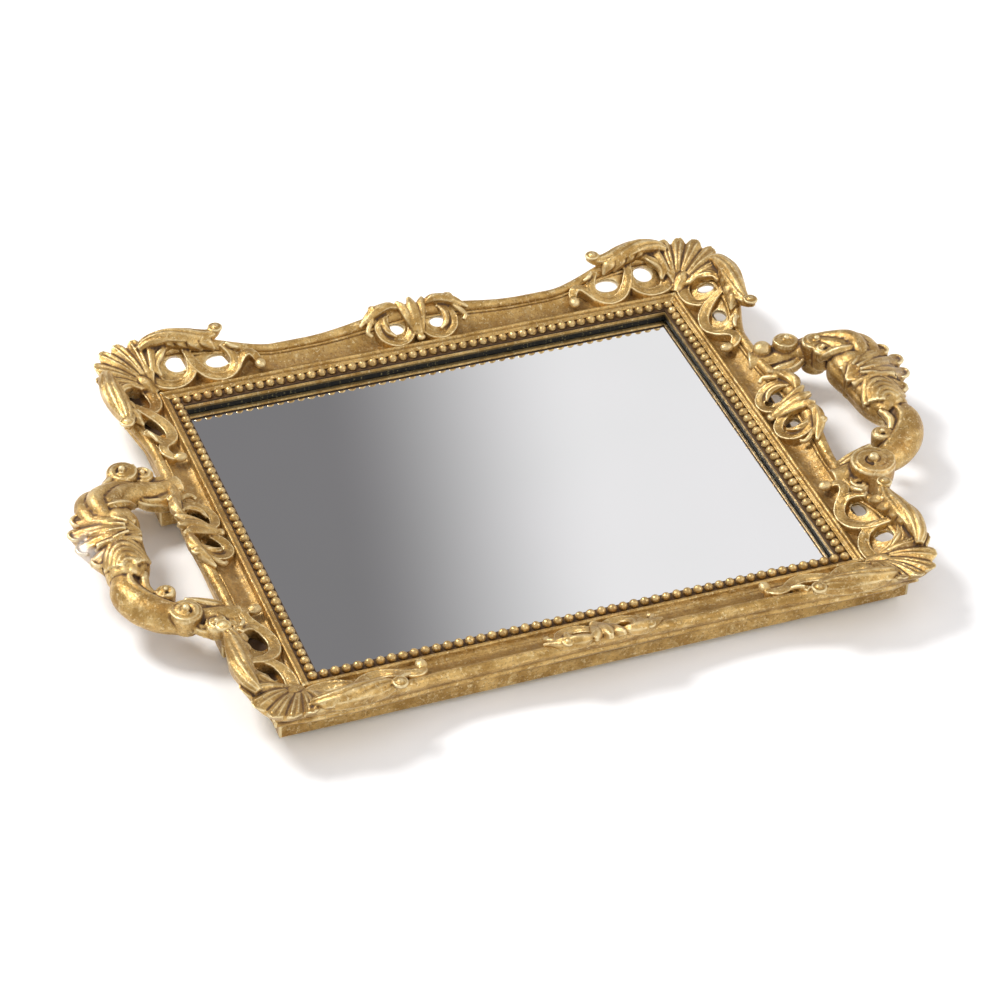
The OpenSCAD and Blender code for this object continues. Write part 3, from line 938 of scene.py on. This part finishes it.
# %% Crests
def crest_clay(side):
    clay, other = Clay(), HALF[1 - side]

    def row(x, out, w, lift=0.0):
        return (x, other + out, slope(out) + lift, w)

    for m in (-1, 1):
        band(clay, [row(5.6 * m, 24.6, 3.2), row(3 * m, 20.6, 3.8), row(3 * m, 14.6, 4.2),
                    row(6.4 * m, 10.2, 4.6), row(12 * m, 9.2, 4.8), row(17 * m, 12.2, 4.6),
                    row(18.6 * m, 17.2, 4.2), row(16.4 * m, 21.6, 3.8), row(12.4 * m, 23.6, 3)],
             False, 5)
        leaf(clay, [row(13 * m, 22.8, 1.6, -0.4), row(15 * m, 19, 3.4, 0.3),
                    row(14.4 * m, 14.6, 3, 0.4), row(11 * m, 12, 1, -0.4)], 1.6, 1, 0.2, 0.35)
        leaf(clay, [row(1.4 * m, 11, 1.6, 0.2), row(3 * m, 18, 4.4, 1), row(4.6 * m, 24, 4.6, 0.8),
                    row(6.6 * m, 28, 1.4, 0.1)], 1, 0.2, 0.3, 0.25, 4)
        leaf(clay, [row(6 * m, 24.6, 2, 0.4), row(12 * m, 26, 5.4, 0.9), row(20 * m, 24, 5.4, 0.5),
                    row(27.5 * m, 19.6, 1.4, -0.4)], 1.6, 1.2, 0.28, 0.25, 5)
        cord(clay, [row(20 * m, 21.6, 1.4), row(23 * m, 18.6, 2.6), row(24.6 * m, 15.6, 2.4),
                    row(23 * m, 13.6, 2)])
        x, y, z, _ = row(18.8 * m, 25.8, 0, 0.6)
        clay.ball((x, y, z), (1.6, 1.6, 1.5))
        rosette(clay, x, y, z, 2, 1.2)
        clay.round([(x, y, z - 5, 2.2), (x, y, z - 0.4, 2.2)], 16, 3)
    leaf(clay, [row(0, 8.4, 1.8, 0.2), row(0, 15, 5, 1.3), row(0, 23, 5.6, 1.4),
                row(0, 28.6, 2, 0.2)], 1, 0, 0.3, 0.3, 5)
    clay.ball((0, other + 9.4, slope(9.4)), (2.2, 2, 1.6))
    return clay


CRESTS = [crest_clay(0), crest_clay(1)]


def crest(name):
    clay = CRESTS[0 if name in ("front", "back") else 1]
    piece = cast(clay.turned(SIDES[name]), "crest_" + name, 0.4)
    return dress(piece, gilt, "gilt_ornament", "crest_" + name)


for name in SIDES:
    crest(name)

# %% [markdown]
# Each course of beads gets the narrow bar that it was cast on. On beads this small how hollow a
# place is comes from its height alone, so the lower halves and the gaps are darkened with the
# umber wash as painted shade.

# %% Bead strips
BAR_DROP = 0.8           # from the bead plane down to the top of the bar


def strip_bar(mesh, name):
    """Adds the narrow bar under the beads to their mesh."""
    low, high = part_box("bead_strip_" + name)
    bar = bmesh.new()
    bar.from_mesh(mesh)
    made = bmesh.ops.create_cube(bar, size=1)["verts"]
    top = (BEAD_Z - BAR_DROP) * MM
    size = Vector((high[0] - low[0], high[1] - low[1], top - low[2]))
    middle = Vector(((low[0] + high[0]) / 2, (low[1] + high[1]) / 2, (top + low[2]) / 2))
    for v in made:
        v.co = Vector((v.co.x * size.x, v.co.y * size.y, v.co.z * size.z)) + middle
    bar.to_mesh(mesh)
    bar.free()
    return mesh


def bead_piece(name, seed):
    mesh = strip_bar(bead_course(name, seed), name)
    mesh.name = "bead_strip_" + name
    piece = set_out("bead_strip_" + name, mesh)
    points = mesh_arrays(mesh)[0]
    uneven = np.array([ripple(p * 3) for p in points])
    # Painted shade: the lower halves of the beads and the bar count as hollow, so the wash darkens
    # them.
    shade_by_height = np.clip((-0.1 - (points[:, 2] - BEAD_Z)) * 0.3, -0.12, 0.6) + 0.05 * uneven
    keep_number(mesh, "fine", shade_by_height)
    keep_number(mesh, "broad", shade_by_height * 0.4)
    mesh.polygons.foreach_set("use_smooth", [len(p.vertices) < 4 or p.area < 1e-5
                                             for p in mesh.polygons])
    return dress(piece, gilt_beads, "gilt_beads", "bead_strip_" + name)


for seed, name in enumerate(SIDES, 3):
    bead_piece(name, seed)

# %% [markdown]
# A handle is one cast arm. It leaves the rail from a cluster of volutes, is wrapped in a fluted
# leaf up to the knee, wears a shell like a collar there, and comes out of the shell as a smooth
# pipe that ends in the near cluster of volutes.

# %% Handles
# the line through the arm, from the far root to the near one: x, y, z and radius
ARM = [(141, 43, 1, 7), (150, 40, 2, 6.4), (162, 38.5, 5, 7.2), (173, 33, 8, 8.6),
       (181, 24, 10, 9.6), (184, 11, 10.5, 9.8), (183.5, -3, 10.5, 9.6), (184.5, -15, 9.5, 8.4),
       (185.5, -27, 8.5, 7.4), (182, -37.5, 7, 7.4), (172.5, -45.5, 5.5, 7.2),
       (160, -50, 3.5, 7), (150, -51.5, 2, 8), (141, -51, 1, 7)]
COLLAR_ROOT = (169.5, 1, 14.4)


def wrapped(clay, rows, flutes, depth, twist):
    """A tube whose flutes wind round it; rows are x, y, z and radius."""
    rows = through(rows)
    spine = rows[:, :3]
    side, normal = across_line(spine)
    turn = np.linspace(0, 2 * math.pi, 48, endpoint=False)
    rings = []
    for t, c, s, n, r in zip(np.linspace(0, 1, len(rows)), spine, side, normal, rows[:, 3]):
        wave = np.abs(np.sin(0.5 * flutes * turn + math.pi * twist * t)) ** 0.8
        radius = r * (1 - depth + depth * wave)
        rings.append(c + s * (radius * np.cos(turn))[:, None] + n * (
            radius * 0.9 * np.sin(turn))[:, None])
    clay.loft(rings)


def far_root(clay, side):
    """Volutes, and the leaf that leaves them."""
    if side == "right":
        clay.ball((148, 44, 7), (4.6, 4.6, 4))
        spiral(clay, 159, 42, 12.4, 6.4, 16, 1.5, 2.6)
        spiral(clay, 170.5, 33.5, 15.4, 7, 17, 1.5, 3.4)
        spiral(clay, 170.5, 26.5, 16, 4.6, 12, 1.2, 1.2, -1)
    else:
        spiral(clay, 165.5, 51, 10.6, 7.4, 16, 1.5, 2.6)
        spiral(clay, 156, 50, 7.6, 5.2, 10, 1.2, 0.4)
        leaf(clay, [(150, 53, 2, 4), (158, 55, 4, 6), (166, 52.5, 6, 7), (173, 46, 8, 7),
                    (178, 41, 9, 4)], 2, 1, 0.3, 0.5, 6)
    leaf(clay, [(146, 34, 1, 6), (152, 33, 3, 8), (159, 32, 5, 6), (165, 33, 7, 3)], 2, 0.8, 0.2,
         0.5, 6)


def knee(clay):
    """The fluted knob that winds round the arm where it turns."""
    wrapped(clay, [(163, 40, 6, 5), (170, 36.5, 8, 7), (177, 32, 9.8, 9), (184, 26, 10.8, 11.2),
                   (186, 18, 10.8, 11), (185, 9, 10.6, 7.6)], 6, 0.24, 1.4)
    leaf(clay, [(167, 24, 11, 2), (171, 21.5, 15.5, 4), (177, 19, 18.8, 4.4), (185, 19, 18.2, 1.6)],
         2, 0.4, 0.3, 0.4, 4)


def collar(clay):
    """The shell, with full lobes whose tips roll over, and the fluted cup under it."""
    rx, ry, rz = COLLAR_ROOT
    tips = [(191.5, 24.5, 14.4), (198, 18.5, 14.4), (202, 9.5, 13.6), (201, -0.5, 12.6),
            (196, -9.5, 11.4)]
    fan(clay, COLLAR_ROOT, tips, belly=4.4, lobe=1.5, thick=10, reach=1.2)
    for x, y, z in tips:
        away = Vector((x - rx, y - ry, 0)).normalized()
        aside = Vector((-away.y, away.x, 0))
        rolled = []
        for a in np.linspace(-1.9, 1.9, 9):
            spot = Vector((x, y, z + 0.4)) - away * 2.6 + away * 3.2 * math.cos(a) + (
                aside * 3.3 * math.sin(a))
            rolled.append((spot.x, spot.y, spot.z + 0.3 * math.cos(a), 1.7))
        cord(clay, rolled)
    for x, y in ((195.2, 23), (200.8, 15), (202.6, 4.8), (199.6, -5)):
        cord(clay, [(rx + (x - rx) * r, ry + (y - ry) * r,
                     rz - 1.2 * r + 4.6 * math.sin(math.pi * min(1, 0.15 + r)), 1.5)
                    for r in (0.25, 0.45, 0.65, 0.82)])
    wrapped(clay, [(182, 20, 9, 8.6), (180.4, 15, 8.4, 12.2), (180.8, 6, 8, 11),
                   (181.4, -4, 8, 10.6), (182.2, -13, 8.4, 10.6), (184, -20, 8.6, 9.6),
                   (185, -23, 8.4, 8.2)], 11, 0.06, 0.5)
    for a, b, w in (((172, 15), (188, 22), 3), ((171.5, 9), (193, 15), 3.4),
                    ((171.5, 3), (194, 5.5), 3.4), ((172, -3), (193, -3), 3)):
        cord(clay, [(a[0] + (b[0] - a[0]) * k, a[1] + (b[1] - a[1]) * k,
                     12.4 + 4.6 * math.sin(math.pi * (0.12 + 0.66 * k)), w)
                    for k in (0, 0.3, 0.6, 0.85, 1)])
    for r, w in ((5, 3.4), (8.4, 3.8), (11.8, 3.8), (15.2, 3.8), (18.8, 3.6)):
        fold = [(182.5 + (1.6 + r * 0.44) * math.cos(a), -22 + r * 1.02 * math.sin(a))
                for a in np.linspace(0.3, 2.85, 11)]
        cord(clay, [(x, y, 6.4 + 0.9 * math.sqrt(max(11 ** 2 - (x - 182.5) ** 2, 6)), w)
                    for x, y in fold])


def pipe(clay):
    """The smooth pipe out of the collar, with a ridge along it."""
    wrapped(clay, [(185, -17, 8.6, 5), (186.5, -23, 8.6, 6.6), (187, -30, 8.2, 7.8),
                   (183, -38.5, 7, 8), (175.5, -45, 5.8, 7.8), (167, -49, 4.6, 6.6),
                   (160, -51, 4, 6)], 2, 0.1, 0.35)
    cord(clay, [(184, -22, 13.6, 3), (184.5, -29, 13.6, 4), (181.5, -35, 12.6, 4),
                (175.5, -41, 11.2, 3.6), (169, -45, 10, 2.6)])
    cord(clay, [(176.5, -23, 12.6, 3), (178, -27, 12.2, 4.4), (178.5, -31, 11.4, 4.4),
                (176.5, -35, 10.4, 3)])


def near_root(clay, side):
    """The nearer volutes and the leaves between them and the rail."""
    if side == "right":
        spiral(clay, 171, -37, 12.6, 4.8, 12, 1.2, 0.2, -1)
        spiral(clay, 158, -55, 13.4, 10.4, 19, 1.4, 0.6, -1)
    else:
        spiral(clay, 171, -36, 12.6, 4.6, 12, 1.2, 0.2, -1)
        spiral(clay, 166, -50, 12, 7.6, 11, 1.4, 0.6, -1)
        spiral(clay, 154.5, -58, 8.6, 5.2, 8, 1.2, 2, 1)
    spiral(clay, 149.5, -60, 6.6, 4.6, 10, 1.2, 2, 1)
    leaf(clay, [(146, -44, 3, 5), (151, -44, 5, 7), (157, -43, 7, 6), (164, -41, 9, 3)], 2, 0.6,
         0.24, 0.5, 6)
    leaf(clay, [(146, -56, 1.5, 5), (152, -57.5, 3.5, 7), (159, -57.5, 5, 6), (166, -54, 6, 3)], 2,
         0.6, 0.24, 0.5, 6)


def handle_clay(side):
    """The arm as it sits on the right; the volutes at its two roots differ on the left."""
    clay = Clay()
    clay.round([(x, y, z, r * 0.82, r * 0.76) for x, y, z, r in ARM], 24, 6)
    far_root(clay, side)
    knee(clay)
    collar(clay)
    pipe(clay)
    near_root(clay, side)
    return clay


RIGHT_BOX, LEFT_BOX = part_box("handle_right"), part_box("handle_left")
SHIFT = (LEFT_BOX[0][1] - RIGHT_BOX[0][1]) / MM
print("the left handle sits", round(SHIFT, 1), "mm off the right one")


# where the two lugs are; where the arm is drawn out from; and the rubbed patch on the collar
FAR_LUG, NEAR_LUG = 43, -50
ROOT_X = 150
PATCH_X, PATCH_WIDE, PATCH_LONG = 196, 7, 9
# each arm: how much it is drawn out, how far it sits off, the patch's y and how rubbed it is
MAKES = {"right": (1.01, 0, 0, 0.4), "left": (0.955, 3, -6, 1.0)}


def lugs(clay, low_z):
    """The two lugs under the rail and the pads that join them to the arm."""
    edge = RIGHT_BOX[0][0] / MM
    for y in (FAR_LUG, NEAR_LUG):
        for x0, x1, z0, z1 in ((edge, edge + 15, low_z, low_z + 2.5),
                               (edge + 13, edge + 20, low_z, 5)):
            clay.loft([[(x, y + dy, z) for dy, z in ((-8, z0), (8, z0), (8, z1), (-8, z1))]
                       for x in (x0, x1)])


def handle(name):
    drawn, off, patch_y, wear_and_highlight = MAKES[name]
    clay = handle_clay(name).turned(
        Matrix.Translation((ROOT_X, 0, 0)) @ Matrix.Scale(drawn, 4, (1, 0, 0))
        @ Matrix.Translation((-ROOT_X, off, 0)))
    lugs(clay, RIGHT_BOX[0][2] / MM - BEAD_Z)
    sense = 1
    if name == "left":
        sense = -1
        clay = clay.turned(Matrix.Translation((0, SHIFT, 0)) @ Matrix.Scale(-1, 4, (1, 0, 0)))
    piece = cast(clay, "handle_" + name, 0.5)
    points = mesh_arrays(piece.data)[0]
    patch = np.exp(-((points[:, 0] * sense - PATCH_X) / PATCH_WIDE) ** 2
                   - ((points[:, 1] - patch_y) / PATCH_LONG) ** 2)
    keep_number(piece.data, "worn", patch * wear_and_highlight)
    return dress(piece, gilt_worn, "gilt_handle", "handle_" + name)


for name in ("right", "left"):
    handle(name)

# %% [markdown]
# The plate is a plain mirror, held under the lip by a dark foam tape and closed at the back with
# a board and steel points. These are simple flat shapes and keep their CAD form, so all that
# they need is a finish: clear silver, streaky paint, dark foam with painted glints, fibrous board,
# brushed steel.

# %% Plain finishes
GRAIN_DEPTH = 0.0002


def finish(name, light, dark, rough, scale, metallic=0.0, bump=0.2, stretch=(1, 1, 1),
           painted_glints=None):
    """A finish mottled between two colours, with a grain that may be drawn out one way, and
    painted glints where a glint colour is given.
    """
    material = bpy.data.materials.new(name)
    t = Tree(material)
    place = t.add("ShaderNodeMapping", {}, Vector=t.add("ShaderNodeTexCoord", out=3),
                  Scale=stretch)
    cloud, grain = t.noise(place, scale), t.noise(place, scale * 9, 4.0, 0.7)
    colour = t.mix((cloud * 0.6 + grain * 0.4).ramp(0.35, 0.65), rgb(light), rgb(dark))
    roughness = (grain - 0.5) * 0.2 + rough
    if painted_glints:
        # Painted glints: small bright spots scattered over the colour.
        glint_mask = t.noise(place, scale * 4, 2.0, 0.5).ramp(0.62, 0.68)
        colour = t.mix(glint_mask, colour, rgb(painted_glints))
    uneven = t.add("ShaderNodeBump", {}, Strength=bump, Distance=GRAIN_DEPTH,
                   Height=grain + cloud)
    t.add("ShaderNodeOutputMaterial", {}, Surface=t.add(
        "ShaderNodeBsdfPrincipled", {}, Base_Color=colour, Metallic=metallic,
        Roughness=roughness.clamp(), Normal=uneven))
    return material


silver = bpy.data.materials.new("silvered_glass")
t = Tree(silver)
place = t.add("ShaderNodeTexCoord", out=3)
haze = t.noise(place, 14.0, 3.0, 0.5)
t.add("ShaderNodeOutputMaterial", {}, Surface=t.add(
    "ShaderNodeBsdfPrincipled", {}, Metallic=1.0,
    Base_Color=t.mix(haze, rgb("eceeed"), rgb("f2f2f3")), Roughness=haze * 0.012 + 0.012))
CAD_FINISHES = {
    "mirror_glass": silver,
    "mirror_paint": finish("backing_paint", "5c5e62", "46484c", 0.6, 60, stretch=(1, 6, 1)),
    # the foam tape is given painted glints
    "glazing_tape": finish("foam_tape", "0d0b06", "1c180d", 0.9, 260, painted_glints="6e6542"),
    "backing_board": finish("fibre_board", "8a6f4c", "6b5236", 0.85, 90, bump=0.5),
    "glazing_points": finish("point_steel", "b8b8b6", "8d8d8b", 0.35, 200, 0.9,
                             stretch=(8, 1, 1)),
}
for node, material in CAD_FINISHES.items():
    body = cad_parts[node]
    body.data.materials.clear()
    body.data.materials.append(material)
print("finished", sorted(CAD_FINISHES))

# %% [markdown]
# The felt is a sheet cut to size and glued flat to the back. Felt is pressed and not woven, so
# its finish has no threads: fine noise in colour and height, and a little sheen.

# %% Base felt
FELT_FUZZ = 0.00003      # how far the free face lies back and wavers, in metres


def felt_sheet():
    """The felt as a closed sheet, with a grid on both faces."""
    low, high = (Vector(corner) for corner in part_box("base_felt"))
    nx, ny = 60, 48
    sheet_mesh = bmesh.new()
    sides = []
    for z, up in ((low.z + FELT_FUZZ, -1), (high.z, 1)):
        grid = [[sheet_mesh.verts.new((low.x + (high.x - low.x) * i / nx,
                                       low.y + (high.y - low.y) * j / ny,
                                       z + (FELT_FUZZ * noise.noise(Vector((i, j, 3)) * 0.35)
                                            if up < 0 else 0))) for j in range(ny + 1)]
                for i in range(nx + 1)]
        sides.append(grid)
        for i in range(nx):
            for j in range(ny):
                quad = [grid[i][j], grid[i + 1][j], grid[i + 1][j + 1], grid[i][j + 1]]
                sheet_mesh.faces.new(quad if up > 0 else quad[::-1])
    bottom, top = sides
    rim = ([(i, 0) for i in range(nx)] + [(nx, j) for j in range(ny)]
           + [(i, ny) for i in range(nx, 0, -1)] + [(0, j) for j in range(ny, 0, -1)])
    for (i, j), (k, m) in zip(rim, rim[1:] + rim[:1]):
        sheet_mesh.faces.new((bottom[i][j], bottom[k][m], top[k][m], top[i][j]))
    mesh = bpy.data.meshes.new("base_felt_sheet")
    sheet_mesh.to_mesh(mesh)
    sheet_mesh.free()
    return set_out("base_felt_sheet", mesh), (high.x - low.x, high.y - low.y)


felt = bpy.data.materials.new("felt")
t = Tree(felt)
place = t.add("ShaderNodeTexCoord", out=3)
fuzz, wool = t.noise(place, 2600.0, 3.0, 0.8), t.noise(place, 240.0, 4.0, 0.7, 1.0)
t.add("ShaderNodeOutputMaterial", {}, Surface=t.add(
    "ShaderNodeBsdfPrincipled", {}, Roughness=0.95, Sheen_Weight=0.35,
    Base_Color=t.mix(wool * 0.6 + fuzz * 0.4, rgb("1f2a1c"), rgb("46543c")),
    Normal=t.add("ShaderNodeBump", {}, Strength=0.6, Distance=0.0003, Height=fuzz + wool)))
felt_piece, felt_size = felt_sheet()
dress(felt_piece, felt, "felt", "base_felt")
print("felt cut to (mm)", [round(v / MM, 1) for v in felt_size])

# %% [markdown]
# Feet and screws repeat, so one of each is turned on a lathe and Geometry Nodes set it out in
# rows. A foot is a soft button with a rounded edge; a screw head is flat, with a worn slot.

# %% Feet and screws
def lathe(profile, name, sides=40):
    """A closed turned body; the profile runs from the axis at the bottom to the axis on top."""
    clay = Clay()
    turn = np.linspace(0, 2 * math.pi, sides, endpoint=False)
    clay.loft([[(max(r, 0.02) * math.cos(a), max(r, 0.02) * math.sin(a), z - BEAD_Z) for a in turn]
               for r, z in profile])
    mesh = clay.mesh(name)
    face_outwards(mesh)
    mesh.polygons.foreach_set("use_smooth", [len(p.vertices) == 4 for p in mesh.polygons])
    return set_out(name, mesh)


def row_tree():
    tree, given, spread = course_tree("row_of_pieces", [("Piece", "Object"), ("Turn", "Float")])
    n, link = tree.nodes, tree.links.new
    model = n.new("GeometryNodeObjectInfo")
    link(given.outputs["Piece"], model.inputs["Object"])
    link(model.outputs["Geometry"], spread.inputs["Instance"])
    angle = n.new("FunctionNodeRandomValue")
    angle.data_type = "FLOAT"
    link(given.outputs["Turn"], angle.inputs[3])
    link(given.outputs["Seed"], angle.inputs["Seed"])
    spin = n.new("ShaderNodeCombineXYZ")
    link(angle.outputs[1], spin.inputs["Z"])
    link(spin.outputs["Vector"], spread.inputs["Rotation"])
    return tree


ROW = row_tree()


def rows_of(name, model, ends, material, slot, node, turn=0.0):
    """Sets out a pair of the model on each row and joins the rows to one piece."""
    heap = bmesh.new()
    for i, (start, end) in enumerate(ends):
        heap.from_mesh(plain_mesh(ROW, {"Start": start, "End": end, "Count": 2, "Piece": model,
                                        "Turn": turn, "Seed": 5 + i, "Finish": material}))
    mesh = bpy.data.meshes.new(name)
    heap.to_mesh(mesh)
    heap.free()
    mesh.polygons.foreach_set("use_smooth", [len(p.vertices) == 4 for p in mesh.polygons])
    bpy.data.objects.remove(model)
    return dress(set_out(name, mesh), material, slot, node)


low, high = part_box("rubber_feet")
FOOT_R, FOOT_H = 5.0, high[2] / MM
foot = lathe([(0, 0), (3.4, 0), (4.3, 0.2), (4.8, 0.7), (5, 1.5), (5, 2.6), (4.9, FOOT_H),
              (0, FOOT_H)], "foot_model")
fx, fy = (high[0] / MM - FOOT_R) * MM, (high[1] / MM - FOOT_R) * MM
rubber = finish("rubber", "221d1a", "2e2824", 0.7, 300, bump=0.4)
rows_of("feet", foot, [((-fx, y, 0), (fx, y, 0)) for y in (-fy, fy)], rubber, "feet",
        "rubber_feet")

low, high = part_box("handle_screws")
SCREW_R = 3.1
SLOT_LONG, SLOT_WIDE, SLOT_LIFT = 7, 0.9, -0.1
head = lathe([(0, -0.25), (2.2, -0.22), (3, 0.1), (SCREW_R, 0.4), (SCREW_R, 1), (1.3, 1.2),
              (1.25, 8), (0.4, 8.5), (0, 8.5)], "screw_model")
slot_bar = set_out("slot_bar", bpy.data.meshes.new("slot_bar"))
bar = bmesh.new()
bmesh.ops.create_cube(bar, size=1)
for v in bar.verts:
    v.co = Vector((v.co.x * SLOT_LONG, v.co.y * SLOT_WIDE, v.co.z + SLOT_LIFT)) * MM
bar.to_mesh(slot_bar.data)
bar.free()
cut_away(head, slot_bar)
screw_x = high[0] - SCREW_R * MM
steel = finish("screw_steel", "c9c4b8", "9a9486", 0.3, 400, 0.95)
rows = [((x, (NEAR_LUG + shift) * MM, low[2]), (x, (FAR_LUG + shift) * MM, low[2]))
        for x, shift in ((screw_x, 0.0), (-screw_x, SHIFT))]
rows_of("screws", head, rows, steel, "screws", "handle_screws", 3.1)
